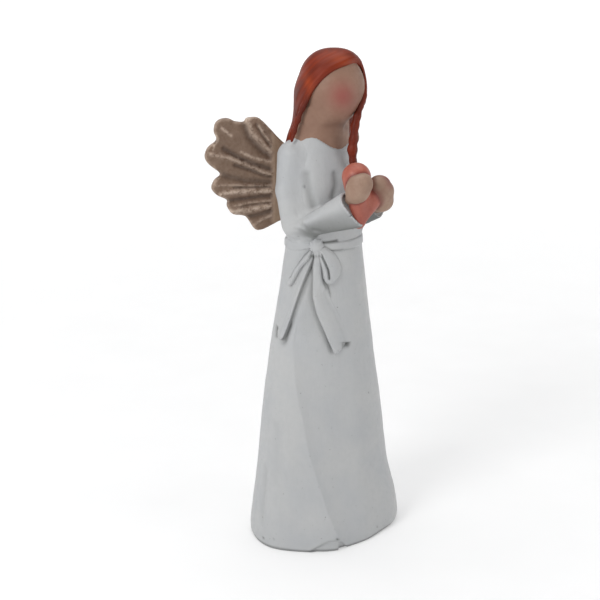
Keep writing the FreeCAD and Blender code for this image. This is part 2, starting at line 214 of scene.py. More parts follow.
# ------------------------------------------------------------------ meshing
def surface(field, low, high, cell):
    """Vertices and quads of the zero surface of a field sampled on a box."""
    axes = [np.arange(a - cell, b + 2 * cell, cell) for a, b in zip(low, high)]
    values = field(*np.meshgrid(*axes, indexing="ij"))
    inside = values < 0
    shape = np.array(values.shape)
    cells, places, quads = [], [], []
    for axis in range(3):
        first = [slice(None)] * 3
        second = [slice(None)] * 3
        first[axis], second[axis] = slice(0, -1), slice(1, None)
        first, second = tuple(first), tuple(second)
        edges = np.argwhere(inside[first] != inside[second])
        others = [k for k in range(3) if k != axis]
        kept = np.all((edges[:, others] > 0) & (edges[:, others] < shape[others] - 1), axis=1)
        edges = edges[kept]
        start = values[first][tuple(edges.T)]
        end = values[second][tuple(edges.T)]
        place = edges.astype(float)
        place[:, axis] += start / (start - end)
        ring = []
        for du, dv in ((-1, -1), (0, -1), (0, 0), (-1, 0)):
            around = edges.copy()
            around[:, others[0]] += du
            around[:, others[1]] += dv
            ring.append(np.ravel_multi_index(tuple(around.T), tuple(shape)))
        for ids in ring:
            cells.append(ids)
            places.append(place)
        quad = np.array(ring).T
        flip = (start > 0) ^ (axis == 1)
        quad[flip] = quad[flip][:, ::-1]
        quads.append(quad)
    cells, places, quads = np.concatenate(cells), np.concatenate(places), np.concatenate(quads)
    used, index = np.unique(cells, return_inverse=True)
    count = np.bincount(index)
    points = np.stack([np.bincount(index, places[:, k]) / count for k in range(3)], axis=1)
    points = points * cell + np.array([axis[0] for axis in axes])
    quads = np.searchsorted(used, quads)
    step = 0.02
    for _ in range(2):
        here = field(*points.T)
        slope = np.stack(
            [(field(*(points + step * np.eye(3)[k]).T) - here) / step for k in range(3)], axis=1
        )
        move = here[:, None] * slope / np.maximum((slope**2).sum(1), 0.05)[:, None]
        points -= np.clip(move, -0.4 * cell, 0.4 * cell)
    return points, quads


def build_mesh(name, points, quads, material):
    mesh = bpy.data.meshes.new(name)
    mesh.vertices.add(len(points))
    mesh.vertices.foreach_set("co", (np.asarray(points) * MM).astype(np.float32).ravel())
    mesh.loops.add(quads.size)
    mesh.loops.foreach_set("vertex_index", quads.astype(np.int32).ravel())
    mesh.polygons.add(len(quads))
    mesh.polygons.foreach_set("loop_start", np.arange(0, quads.size, 4, dtype=np.int32))
    mesh.polygons.foreach_set("use_smooth", np.ones(len(quads), bool))
    mesh.update(calc_edges=True)
    mesh.validate()
    mesh.materials.append(material)
    piece = bpy.data.objects.new(name, mesh)
    bpy.context.scene.collection.objects.link(piece)
    return piece


def mark(piece, name, values):
    """A value on every vertex for the material to read."""
    layer = piece.data.attributes.new(name, "FLOAT", "POINT")
    layer.data.foreach_set("value", np.asarray(values, np.float32))


def finish_piece(piece, node):
    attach(piece, "root")
    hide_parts(node)
    return piece


def sculpt(node, field, low, high, cell, material):
    """Meshes a field as the piece that stands for a CAD node. Returns the piece and its vertices."""
    points, quads = surface(field, low, high, cell)
    piece = build_mesh(node + "_sculpt", points, quads, material)
    finish_piece(piece, node)
    return piece, points


# ------------------------------------------------------------------ materials
class Nodes:
    """A small helper for writing node trees."""

    def __init__(self, name):
        self.material = bpy.data.materials.new(name)
        self.material.use_nodes = True
        self.tree = self.material.node_tree
        self.tree.nodes.clear()
        self.shader = self.add("ShaderNodeBsdfPrincipled")
        output = self.add("ShaderNodeOutputMaterial")
        self.join(self.shader.outputs[0], output.inputs["Surface"])
        self.place = self.add("ShaderNodeTexCoord").outputs["Object"]

    def add(self, kind, **settings):
        node = self.tree.nodes.new(kind)
        for key, value in settings.items():
            setattr(node, key, value)
        return node

    def join(self, source, target):
        self.tree.links.new(source, target)

    def put(self, socket, value):
        """Sets an input to a constant or joins it to an output."""
        if isinstance(value, bpy.types.NodeSocket):
            self.join(value, socket)
        else:
            socket.default_value = value

    def noise(self, size, detail=3.0, rough=0.55, stretch=(1, 1, 1), place=None):
        """Noise with bumps about that many millimetres across."""
        mapping = self.add("ShaderNodeMapping")
        self.join(place or self.place, mapping.inputs["Vector"])
        mapping.inputs["Scale"].default_value = stretch
        texture = self.add("ShaderNodeTexNoise")
        self.join(mapping.outputs[0], texture.inputs["Vector"])
        texture.inputs["Scale"].default_value = 1 / (size * MM)
        texture.inputs["Detail"].default_value = detail
        texture.inputs["Roughness"].default_value = rough
        return texture.outputs[0]

    def fit(self, value, low, high, to_low=0.0, to_high=1.0):
        node = self.add("ShaderNodeMapRange", clamp=True)
        self.put(node.inputs["Value"], value)
        for key, number in zip(("From Min", "From Max", "To Min", "To Max"), (low, high, to_low, to_high)):
            node.inputs[key].default_value = number
        return node.outputs[0]

    def math(self, operation, first, second=0.0):
        node = self.add("ShaderNodeMath", operation=operation)
        self.put(node.inputs[0], first)
        self.put(node.inputs[1], second)
        return node.outputs[0]

    def mix(self, share, first, second):
        node = self.add("ShaderNodeMix", data_type="RGBA")
        self.put(node.inputs[0], share)
        for socket, value in ((node.inputs[6], first), (node.inputs[7], second)):
            self.put(socket, value if isinstance(value, bpy.types.NodeSocket) else paint(value))
        return node.outputs[2]

    def mark(self, name):
        return self.add("ShaderNodeAttribute", attribute_name=name).outputs["Fac"]

    def bump(self, heights):
        """Bumps from (height socket, millimetres) pairs."""
        normal = None
        for height, depth in heights:
            node = self.add("ShaderNodeBump")
            node.inputs["Strength"].default_value = 1.0
            node.inputs["Distance"].default_value = depth * MM
            self.join(height, node.inputs["Height"])
            if normal is not None:
                self.join(normal, node.inputs["Normal"])
            normal = node.outputs[0]
        self.join(normal, self.shader.inputs["Normal"])

    def finish(self, colour, rough, specular=0.5):
        self.put(self.shader.inputs["Base Color"], colour)
        self.put(self.shader.inputs["Roughness"], rough)
        self.put(self.shader.inputs["Specular IOR Level"], specular)
        return self.material


# Share of its nominal brightness that the dulled paint keeps.
PAINT_STRENGTH = 0.69


def paint(shade):
    """An sRGB colour (0 to 255) as the linear value that a shader takes."""
    linear = [(c / 255 / 12.92) if c <= 10 else ((c / 255 + 0.055) / 1.055) ** 2.4 for c in shade]
    return (*(PAINT_STRENGTH * c for c in linear), 1.0)


def gown_paint():
    n = Nodes("gown_paint")
    broad = n.noise(18.0, 2.0)
    colour = n.mix(n.fit(broad, 0.35, 0.65), (198, 200, 202), (205, 206, 206))
    fine = n.noise(2.2, 4.0, 0.6)
    colour = n.mix(n.fit(fine, 0.45, 0.75, 0.0, 0.22), colour, (190, 193, 194))
    # The dark mark is painted shade in grooves, joins and undersides, and also darkens the pits.
    colour = n.mix(n.fit(n.mark("painted_shade_and_pits"), 0.0, 1.0), colour, (104, 106, 102))
    pores = n.fit(n.noise(1.1, 1.0), 0.765, 0.80)
    colour = n.mix(n.math("MULTIPLY", pores, 0.5), colour, (120, 118, 112))
    strokes = n.noise(1.4, 3.0, 0.6, (1.0, 1.0, 0.22))
    n.bump([(strokes, 0.10), (n.noise(5.0, 2.0), 0.22)])
    return n.finish(colour, n.fit(fine, 0.3, 0.7, 0.42, 0.62), 0.4)


def skin_paint(name, light, dark):
    n = Nodes(name)
    broad = n.noise(7.0, 2.0)
    colour = n.mix(n.fit(broad, 0.35, 0.65), light, dark)
    fine = n.noise(1.6, 4.0, 0.6)
    colour = n.mix(n.fit(fine, 0.45, 0.75, 0.0, 0.3), colour, (148, 112, 94))
    # Cheek blush on the face, painted pink shade on the left hand.
    colour = n.mix(n.mark("blush_and_pink_shade"), colour, (164, 86, 78))
    # Painted shade under the chin and where the hands meet the heart and sleeves.
    colour = n.mix(n.mark("painted_shade_and_pits"), colour, (112, 76, 62))
    n.bump([(n.noise(0.9, 3.0), 0.05), (n.noise(4.0, 2.0), 0.12)])
    return n.finish(colour, n.fit(fine, 0.3, 0.7, 0.48, 0.66), 0.35)


def hair_paint():
    n = Nodes("hair_paint")
    combine = n.add("ShaderNodeCombineXYZ")
    n.join(n.mark("across"), combine.inputs[0])
    n.join(n.mark("along"), combine.inputs[1])
    flow = combine.outputs[0]
    streak = n.noise(1.3, 3.0, 0.6, (1.0, 0.10, 1.0), flow)
    wide = n.noise(3.6, 2.0, 0.5, (1.0, 0.22, 1.0), flow)
    colour = n.mix(n.fit(streak, 0.35, 0.7), (126, 42, 20), (150, 54, 24))
    colour = n.mix(n.fit(wide, 0.42, 0.66, 0.0, 0.8), colour, (96, 34, 20))
    # Painted highlight.
    colour = n.mix(n.mark("light"), colour, (206, 86, 30))
    # Painted shade along the face edge and on the left lock.
    colour = n.mix(n.mark("painted_shade_and_pits"), colour, (58, 24, 20))
    n.bump([(streak, 0.07), (wide, 0.14)])
    return n.finish(colour, n.fit(streak, 0.3, 0.7, 0.42, 0.56), 0.2)


def heart_paint():
    n = Nodes("heart_paint")
    broad = n.noise(5.0, 3.0)
    colour = n.mix(n.fit(broad, 0.3, 0.7), (196, 112, 92), (180, 94, 77))
    colour = n.mix(n.fit(n.noise(1.3, 4.0, 0.65), 0.5, 0.8, 0.0, 0.5), colour, (214, 132, 100))
    # Painted shade where the hands hold it and over its lower part.
    colour = n.mix(n.mark("painted_shade_and_pits"), colour, (130, 58, 50))
    n.bump([(n.noise(0.9, 3.0), 0.06), (n.noise(3.0, 2.0), 0.14)])
    return n.finish(colour, n.fit(broad, 0.3, 0.7, 0.4, 0.55), 0.45)


def wing_paint():
    n = Nodes("wing_paint")
    broad = n.noise(9.0, 3.0)
    colour = n.mix(n.fit(broad, 0.35, 0.65), (128, 102, 82), (147, 120, 99))
    fine = n.noise(1.0, 4.0, 0.7)
    colour = n.mix(n.fit(fine, 0.4, 0.7, 0.0, 0.4), colour, (112, 84, 66))
    colour = n.mix(n.math("MULTIPLY", n.mark("root"), 0.7), colour, (172, 146, 122))
    # Painted shade in the feather grooves and the dark pores.
    colour = n.mix(n.mark("painted_shade_and_pits"), colour, (66, 46, 36))
    dry = n.math("MULTIPLY", n.mark("ridge"), n.fit(n.noise(1.8, 4.0, 0.7), 0.36, 0.56))
    colour = n.mix(dry, colour, (216, 193, 174))
    n.bump([(fine, 0.10), (n.noise(3.0, 2.0), 0.2)])
    return n.finish(colour, n.fit(fine, 0.3, 0.7, 0.42, 0.6), 0.45)


def felt():
    n = Nodes("pad_felt")
    fibre = n.noise(0.5, 4.0, 0.7)
    colour = n.mix(n.fit(fibre, 0.3, 0.7), (70, 68, 64), (96, 93, 88))
    n.bump([(fibre, 0.2)])
    return n.finish(colour, 0.95, 0.1)


def wire():
    n = Nodes("pin_wire")
    drawn = n.noise(0.3, 2.0, 0.5, (1.0, 0.05, 1.0))
    colour = n.mix(n.fit(drawn, 0.3, 0.7), (150, 150, 152), (182, 182, 184))
    n.shader.inputs["Metallic"].default_value = 1.0
    n.bump([(drawn, 0.02)])
    return n.finish(colour, n.fit(drawn, 0.3, 0.7, 0.25, 0.42))


GOWN, HAIR = gown_paint(), hair_paint()
SKIN = skin_paint("face_paint", (166, 131, 111), (154, 119, 100))
# The hands take a lighter copy of the skin paint: painted light, as if more brightly lit than the face.
LIT_SKIN = skin_paint("lit_hand_paint", (180, 150, 130), (168, 136, 116))
HEART, WING, FELT, WIRE = heart_paint(), wing_paint(), felt(), wire()
for node, material in (("base_felt_pad", FELT), ("wing_pins", WIRE)):
    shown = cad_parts[node]
    shown.data.materials.clear()
    shown.data.materials.append(material)

# ------------------------------------------------------------------ gown
# Height, half width, half depth and how far the section's middle lies behind the origin.
GOWN_ROWS = (
    (0.1, 33.9, 25.8, 0.0), (12, 32.3, 24.5, 0.0), (24, 30.4, 23.0, 0.0), (36, 28.8, 21.8, 0.0),
    (48, 27.4, 20.7, 0.0), (60, 25.8, 19.5, 0.0), (72, 23.8, 18.0, 0.0), (84, 21.9, 16.6, 0.0),
    (96, 19.8, 15.1, 0.0), (108, 17.7, 13.5, 0.0), (118, 16.4, 12.5, 0.0), (128, 16.0, 12.2, 0.4),
    (138, 15.8, 12.0, 1.0), (148, 15.0, 11.6, 1.8), (154, 13.8, 11.0, 2.2), (159, 12.8, 10.3, 2.5),
    (163, 12.2, 9.9, 2.6), (167, 11.5, 9.4, 2.2), (174, 10.4, 9.2, 0.8),
)
HALF_WIDE = [(row[0], row[1]) for row in GOWN_ROWS]
HALF_DEEP = [(row[0], row[2]) for row in GOWN_ROWS]
BEHIND = [(row[0], row[3]) for row in GOWN_ROWS]
# Top edge of the gown round the neck: bearing from the front towards her right, and height.
NECKLINE = ((-180, 164.5), (-100, 163.5), (-40, 161.4), (-10, 160.2), (12, 161.2), (33, 163.6), (54, 165.6),
            (72, 165.2), (102, 164.6), (180, 164.5))

# Carved lines on the gown: bearing and height of each point, width, depth and how much painted shade lies in
# it.
CARVING = (
    # folds on the chest
    (((62, 151), (58, 145), (52, 139)), 1.6, 0.9, 0.26),
    (((13, 151), (13, 147), (20, 142)), 1.3, 1.0, 0.42),
    # sash: slit above it and line below it on the front, marks on the other side of the knot
    (((42, 124.6), (28, 124.6), (14, 124.8)), 0.45, 0.9, 1.0),
    (((38, 123.4), (26, 121.3), (4, 121.1)), 0.40, 0.55, 0.75),
    (((4, 121.1), (-27, 120.6)), 0.35, 0.3, 0.35),
    (((84, 126.8), (75, 125.6)), 0.45, 0.8, 0.9),
    (((74, 129.2), (71, 127.2)), 0.4, 0.4, 0.5),
    (((92, 124.6), (78, 124.8)), 0.5, 0.25, 0.25),
    (((61, 128.0), (58, 126.9)), 0.5, 0.4, 0.4),
    # beside the ribbon tails
    (((59, 119), (66, 108), (75, 99.6), (80, 91.6), (84, 85.0)), 1.5, 0.9, 0.38),
    (((81, 91.6), (84, 85.2)), 1.3, 0.6, 0.6),
    (((57, 116), (53.5, 102), (45, 94.2), (35, 87.6), (28, 81.6)), 1.5, 0.8, 0.30),
    (((34, 88.6), (28.4, 83.0)), 0.45, 0.9, 1.0),
    (((14, 83.6), (4, 83.2)), 1.3, 1.3, 1.0),
    # hollow between the ribbon tails
    (((57, 115), (58, 104), (58, 92)), 4.2, 0.45, 0.10),
    # hollow below the front loop
    (((40, 108.6), (34.5, 106.6), (33, 103.8)), 1.1, 1.3, 0.95),
    # nick at the back of the skirt
    (((100, 88.6), (97, 86.0)), 0.9, 1.0, 0.9),
    (((95, 88.8), (93, 85.4)), 0.6, 0.35, 0.3),
    # shallow folds at the foot of the skirt
    (((80, 52), (79, 40), (78, 28)), 2.4, 0.35, 0.05),
    (((91, 31), (90, 20), (88, 10)), 1.8, 0.45, 0.1),
    # scratch at the elbow fold
    (((76, 138.0), (73, 134.8)), 0.35, 0.3, 0.5),
)
# The long fold down the skirt and the facet cut under its foot: bearing and height.
CREASE = ((72, 84), (63, 66), (56, 54), (51, 41), (43, 29), (35, 16.4), (26, 5))
UNDERCUT = ((26, 5.0), (34, 4.9), (50, 0.4), (26, -2.0), (16, -2.0))
UNDERCUT_AT, HEM_RADIUS = 26, 29.0
PITS = ((85, 2.9, 0.45), (75, 4.0, 0.3), (-18, 3.8, 0.35), (65, 146.5, 0.4), (28, 5.4, 0.5), (56, 119.6, 1.0),
        (100, 145.5, 0.4), (97, 131, 0.35), (50, 36, 0.2), (60, 17, 0.2), (-30, 60, 0.25), (120, 70, 0.3),
        (170, 40, 0.35), (-110, 95, 0.3), (-150, 20, 0.35))


def bearing(x, y, z):
    """Bearing from the front towards her right, and distance from the section's middle."""
    back = y - curve(BEHIND, z)
    return np.arctan2(-x, -back), np.hypot(x, back)


def form_radius(turn, z):
    """Radius of the plain body form under gown and neck."""
    return 1 / np.sqrt((np.sin(turn) / curve(HALF_WIDE, z)) ** 2 + (np.cos(turn) / curve(HALF_DEEP, z)) ** 2)


def on_gown(turn, z, radius, path):
    """The bearing and height of points as distances from the start of a carved line."""
    result = None
    for (p1, h1), (p2, h2) in zip(path[:-1], path[1:]):
        end = math.radians(p2 - p1) * radius
        gap, _ = to_segment((turned(turn, p1) * radius, z), (0.0 * radius, h1), (end, h2))
        result = gap if result is None else np.minimum(result, gap)
    return result


def gown_radius(turn, z, carved=True):
    """Radius of the finished gown and the painted shade and dark pits that lie on it."""
    plain = form_radius(turn, z)
    degrees = np.degrees(turn)
    radius = plain + 0.30
    # the long fold: a soft edge that runs down the skirt, steep on its front side
    away = on_gown(turn, z, plain, CREASE)
    line = curve([(h, p) for p, h in reversed(CREASE)], z)
    ahead = turned(turn, line) < 0
    strength = smoothstep(100, 62, z)
    radius = radius + 3.1 * strength * np.exp(-away / np.where(ahead, 3.0, 16.0)) - 0.8 * strength
    # broad waves of the skirt, stronger towards the hem
    low = smoothstep(110, 10, z)
    radius = radius + 0.35 * low * np.sin(5 * turn + 0.02 * z + 1.0) + 0.22 * low * np.sin(9 * turn + 2.2)
    # the hem flares at her front left and is slightly faceted
    flare = hump(turned(turn, -38), 0.62)
    radius = radius + 1.5 * flare * smoothstep(24, 8, z) * smoothstep(-1, 4, z)
    radius = radius - 0.3 * smoothstep(1.2, 0.1, z) * (1 + 0.6 * np.sin(7 * turn + 1.2))
    slim = hump(turned(turn, -56), 0.6)
    radius = radius - 0.9 * slim * smoothstep(12, 28, z) * smoothstep(112, 90, z)
    # the skirt is fuller behind her right hip, and reaches forward at the toes
    full = hump(turned(turn, 128), 0.7)
    radius = radius + 0.95 * full * smoothstep(-2, 5, z) * smoothstep(128, 112, z)
    toe = hump(turned(turn, 36), 0.6)
    radius = radius + 1.8 * toe * smoothstep(34, 0, z)
    # chest: bust and folds between the arms
    chest = hump(degrees - 5, 50) * hump(z - 147, 9)
    radius = radius + 1.6 * chest
    painted_shade_and_pits = np.zeros(radius.shape)
    if carved:
        low_z, high_z = z.min(), z.max()
        for path, width, depth, dark in CARVING:
            heights = [h for _, h in path]
            if min(heights) - 5 > high_z or max(heights) + 5 < low_z:
                continue
            cut = hump(on_gown(turn, z, plain, path), width)
            radius = radius - depth * cut
            painted_shade_and_pits = np.maximum(painted_shade_and_pits, dark * cut)
        # pits are dark: most are pinholes in the paint, and the deep one under the knot is painted shade
        for angle, height, size in PITS:
            hole = hump(np.hypot(turned(turn, angle) * plain, z - height), size)
            radius = radius - 0.9 * size * hole
            painted_shade_and_pits = np.maximum(painted_shade_and_pits, hole)
        # undercut facet at the foot of the long fold
        around = turned(turn, UNDERCUT_AT) * plain
        facet = [(math.radians(p - UNDERCUT_AT) * HEM_RADIUS, h) for p, h in UNDERCUT]
        under = inside_outline(around, z, facet)
        facet = smoothstep(-0.2, 0.4, under) * smoothstep(6, 2, z)
        radius = radius - 1.1 * facet
        # painted shade along the edge of the undercut facet
        painted_shade_and_pits = np.maximum(painted_shade_and_pits, 0.25 * smoothstep(0.7, 0.0, np.abs(under)) * smoothstep(-1, 1, around))
        # darker along the lowest 1.5 mm of the hem
        painted_shade_and_pits = np.maximum(painted_shade_and_pits, 0.55 * smoothstep(1.5, 0.7, z))
    # above the neckline the gown drops back under the skin
    edge = z - curve(NECKLINE, degrees)
    radius = radius - 1.6 * smoothstep(-0.35, 0.55, edge)
    return radius, painted_shade_and_pits


TURN_SPAN = ((-math.pi, 0.0), (math.pi, 176.0), (math.radians(0.75), 0.3))
GOWN_SHAPE = Table(lambda turn, z: gown_radius(turn, z)[0], *TURN_SPAN)
GOWN_PLAIN = Table(lambda turn, z: gown_radius(turn, z, False)[0], *TURN_SPAN)
GOWN_SHADE_AND_PITS = Table(lambda turn, z: gown_radius(turn, z)[1], *TURN_SPAN)


def gown_gap(x, y, z, carved=True):
    """Distance outside the gown."""
    turn, distance = bearing(x, y, z)
    return (distance - (GOWN_SHAPE if carved else GOWN_PLAIN)(turn, z)) * 0.95


def build_gown():
    turns = np.linspace(-math.pi, math.pi, 321)[:-1]
    heights = np.concatenate([np.linspace(0.1, 3.0, 11), np.arange(3.6, 167.2, 0.62)])
    turn, z = np.meshgrid(turns, heights)
    radius, painted_shade_and_pits = gown_radius(turn, z)
    radius = radius + 0.06 * noise(turn * 20, z, 0 * z, 3.0)
    points = np.stack([-radius * np.sin(turn), curve(BEHIND, z) - radius * np.cos(turn), z], axis=-1)
    rows, columns = turn.shape
    index = np.arange(rows * columns).reshape(rows, columns)
    right = np.roll(index, -1, axis=1)
    quads = [np.stack([index[:-1], index[1:], right[1:], right[:-1]], axis=-1).reshape(-1, 4)]
    points = points.reshape(-1, 3)
    painted_shade_and_pits = painted_shade_and_pits.ravel()
    # underside and top are closed by rings that shrink to the middle
    for row, inward in ((0, (0.9, 0.55, 0.2, 0.02)), (rows - 1, (0.6, 0.05))):
        ring = index[row]
        middle = points[ring].mean(axis=0)
        for share in inward:
            new = middle + (points[index[row]] - middle) * share
            fresh = len(points) + np.arange(columns)
            points = np.concatenate([points, new])
            # the closing rings get some painted shade
            painted_shade_and_pits = np.concatenate([painted_shade_and_pits, np.full(columns, 0.3)])
            pair = (fresh, ring) if row == 0 else (ring, fresh)
            quads.append(np.stack([pair[0], pair[1], np.roll(pair[1], -1), np.roll(pair[0], -1)], axis=-1))
            ring = fresh
    piece = build_mesh("gown_sculpt", points, np.concatenate(quads), GOWN)
    mark(piece, "painted_shade_and_pits", painted_shade_and_pits)
    finish_piece(piece, "gown")


build_gown()


# ------------------------------------------------------------------ arms
ARM = {
    "right": {
        "upper": ((-12.4, 4.4, 157.2), (-14.6, 3.4, 144.0), (-14.4, 0.6, 131.0)),
        "upper_r": (6.0, 5.5, 5.2),
        "fore": ((-14.2, -4.0, 129.6), (-11.4, -15.0, 134.6), (-7.5, -27.6, 141.0)),
        "tall": (3.6, 5.4, 7.6),
        "wide": (5.4, 5.4, 5.2),
    },
    "left": {
        "upper": ((11.6, 4.8, 154.4), (14.0, 3.2, 143.6), (14.4, 0.6, 131.4)),
        "upper_r": (5.8, 5.8, 5.4),
        "fore": ((14.2, -3.6, 130.4), (11.6, -12.6, 134.2), (8.0, -23.4, 139.6)),
        "tall": (3.8, 4.6, 5.0),
        "wide": (5.2, 5.0, 4.6),
    },
}
# Fillet between sleeve and gown, and how far the cuff's mouth leans back for each millimetre up.
CUFF_BLEND, CUFF_SLANT = 2.8, 0.22


def arm_gap(side, x, y, z):
    """Distance outside the arm in its sleeve."""
    arm = ARM[side]
    upper = tube((x, y, z), arm["upper"], arm["upper_r"], 1.0)
    start, middle, end = (np.array(p) for p in arm["fore"])
    along = (end - start) / np.linalg.norm(end - start)
    side_axis = np.cross((0, 0, 1), along)
    side_axis /= np.linalg.norm(side_axis)
    up_axis = np.cross(along, side_axis)
    near = [x - start[0], y - start[1], z - start[2]]
    length = np.linalg.norm(end - start)
    run = sum(a * b for a, b in zip(near, along))
    share = np.clip(run / length, 0, 1)
    tall = np.interp(share, (0, 0.5, 1), arm["tall"])
    wide = np.interp(share, (0, 0.5, 1), arm["wide"])
    across = sum(a * b for a, b in zip(near, side_axis))
    rise = sum(a * b for a, b in zip(near, up_axis))
    wide = wide * (1 - 0.62 * np.clip((0.45 - rise / tall) / 1.45, 0, 1))
    ring = np.sqrt((across / wide) ** 2 + (rise / tall) ** 2)
    fore = (ring - 1) * np.minimum(wide, tall)
    fore = soft_max(fore, run - length + CUFF_SLANT * rise, 1.0)
    fore = soft_max(fore, -run - 5.0, 3.0)
    # mouth of the cuff, slightly hollow
    mouth = np.maximum((ring - 0.82) * np.minimum(wide, tall), length - CUFF_SLANT * rise - 1.0 - run)
    fore = soft_max(fore, -mouth, 0.5)
    return soft_min(upper, fore, 3.0)


# Folds pressed into her right sleeve at the elbow: path, width, depth and painted shade.
ELBOW_FOLDS = (
    (((-18.6, -7.4, 135.0), (-17.4, -9.4, 131.6), (-16.2, -10.6, 128.2)), 0.8, 0.9, 0.5),
    (((-19.4, -5.2, 131.2), (-18.2, -7.6, 128.6)), 0.7, 0.6, 0.4),
    (((-15.0, -12.6, 130.4), (-12.6, -16.0, 129.2)), 0.9, 0.6, 0.35),
)


def fold_cover(x, y, z, row):
    """How deep the elbow folds cut at a point, or how much painted shade lies in them."""
    total = 0 * x
    for path, width, *rest in ELBOW_FOLDS:
        total = np.maximum(total, rest[row] * hump(to_path((x, y, z), path), width))
    return total


def sleeve_field(side):
    def field(x, y, z):
        arm = arm_gap(side, x, y, z)
        gown = gown_gap(x, y, z)
        joined = soft_min(arm, gown, CUFF_BLEND)
        sunk = joined + 0.10 * smoothstep(0.4 * CUFF_BLEND, CUFF_BLEND, arm)
        return np.maximum(sunk, arm - CUFF_BLEND - 0.5) + 0.05 * noise(x, y, z, 4.0) + fold_cover(x, y, z, 0)

    return field


def build_sleeves():
    for side, low, high in (
        ("right", (-26, -33, 119), (2, 16, 168)),
        ("left", (-2, -30, 119), (26, 16, 167)),
    ):
        piece, points = sculpt("sleeve_" + side, sleeve_field(side), low, high, 0.5, GOWN)
        x, y, z = points.T
        turn, _ = bearing(x, y, z)
        # Painted shade: the gown's, the elbow folds' and a band on the sleeve's underside, which faces down.
        painted_shade = GOWN_SHADE_AND_PITS(turn, z) * smoothstep(0.5, 3.0, arm_gap(side, x, y, z))
        facing = np.zeros(len(points) * 3)
        piece.data.vertices.foreach_get("normal", facing)
        under = smoothstep(0.05, -0.75, facing[2::3]) * smoothstep(2.5, 0.5, arm_gap(side, x, y, z))
        painted_shade = np.maximum(painted_shade, fold_cover(x, y, z, 1))
        mark(piece, "painted_shade_and_pits", np.maximum(painted_shade, 0.8 * under * smoothstep(-3.0, -10.0, y)))


build_sleeves()

# ------------------------------------------------------------------ head frame
# Across the face, up it, and out of it to the front.
HEAD = np.array((1.5, -2.9, 183.0))
TURN, LIFT = math.radians(38), math.radians(16)
ACROSS = np.array((math.cos(TURN), -math.sin(TURN), 0.0))
TOWARDS = np.array((-math.sin(TURN) * math.cos(LIFT), -math.cos(TURN) * math.cos(LIFT), math.sin(LIFT)))
UPWARD = np.cross(TOWARDS, ACROSS)


def head_frame(x, y, z):
    away = (x - HEAD[0], y - HEAD[1], z - HEAD[2])
    return tuple(sum(a * b for a, b in zip(away, axis)) for axis in (ACROSS, UPWARD, TOWARDS))


def from_head(u, v, w):
    return tuple(HEAD + u * ACROSS + v * UPWARD + w * TOWARDS)


# Edge of the hair round the face and neck, in the head frame.
FACE_OPENING = rounded(
    (
        (9.6, 8.9), (4.6, 7.0), (-0.8, 4.0), (-5.5, -0.4), (-9.0, -5.2), (-11.4, -9.8), (-13.0, -13.4),
        (-14.3, -17.0), (-15.6, -21.0), (-15, -30), (-8, -36), (4, -36), (7.8, -28), (7.4, -23.7),
        (8.0, -19.1), (8.2, -16.0), (8.6, -13.0), (9.6, -9.8), (10.7, -5.9), (11.7, -1.2), (12.2, 3.0),
        (11.6, 6.9),
    )
)
face_opening = outline_table(FACE_OPENING)
# Rings of the hair: height, middle (x, y) and half sizes (x, y).
HAIR_RINGS = (
    (146, 0.0, 13.6, 6.0, 2.2), (152, 0.0, 11.8, 9.6, 4.0), (158, 0.2, 8.4, 12.6, 7.4),
    (164, 0.3, 4.2, 13.6, 10.2), (170, 0.7, 1.0, 13.2, 12.0), (177, 1.1, -0.9, 13.1, 13.2),
    (184, 1.3, -1.8, 13.0, 13.6), (190, 1.9, -2.2, 12.2, 12.8), (196, 2.2, -2.3, 9.2, 9.8),
    (200, 2.6, -2.3, 1.6, 1.8),
)


def hair_fall(x, y, z):
    """The long hair as an upright tube of oval rings."""
    middle_x, middle_y, half_x, half_y = (
        curve([(ring[0], ring[k]) for ring in HAIR_RINGS], z) for k in (1, 2, 3, 4)
    )
    ring = np.sqrt(((x - middle_x) / half_x) ** 2 + ((y - middle_y) / half_y) ** 2)
    return (ring - 1) * np.minimum(half_x, half_y) * 0.9


def swept_back(x, y, z):
    """Positive in the space before her left shoulder that the long hair leaves free."""
    front = curve(((150, 2.0), (160, 0.5), (166, -1.5), (171, -4.0), (176, -9.0), (180, -20.0)), z)
    return np.minimum((front - y) * 0.8, x - 4.0)


# ------------------------------------------------------------------ head
def skull_gap(x, y, z):
    u, v, w = head_frame(x, y, z)
    u = u - 0.4 - 0.02 * v
    squeeze = 1 + 0.010 * np.clip(-v - 2, 0, 14)
    return ellipsoid(u * squeeze, v + 0.2, w, (12.4, 14.3, 12.3))


def skin_field(x, y, z):
    skull = skull_gap(x, y, z)
    turn, distance = bearing(x, y, z)
    neck = (distance - form_radius(turn, z) - 0.05) * 0.85
    neck = np.maximum(neck, z - 176)
    nape = soft_max(hair_fall(x, y, z) + 1.6, swept_back(x, y, z) + 1.2, 1.0)
    neck = soft_min(neck, soft_max(nape, z - 179, 3.0), 3.0)
    return np.maximum(soft_min(skull, neck, 1.6), 152 - z) + 0.05 * noise(x, y, z, 3.5)


def build_head():
    piece, points = sculpt("head", skin_field, (-16, -19, 151), (17, 15, 199), 0.45, SKIN)
    u, v, w = head_frame(*points.T)
    blush_and_pink_shade = hump(u - 4.0, 5.0) * hump(v + 4.4, 5.2) * smoothstep(0, 4, w)
    mark(piece, "blush_and_pink_shade", 0.85 * blush_and_pink_shade)
    # Painted chin shadow under the jaw.
    chin_shadow = hump(v + 14.2 + 0.02 * (u - 3) ** 2, 1.2) * smoothstep(-6, -2, u) * smoothstep(14, 8, u)
    mark(piece, "painted_shade_and_pits", 0.45 * chin_shadow)


build_head()

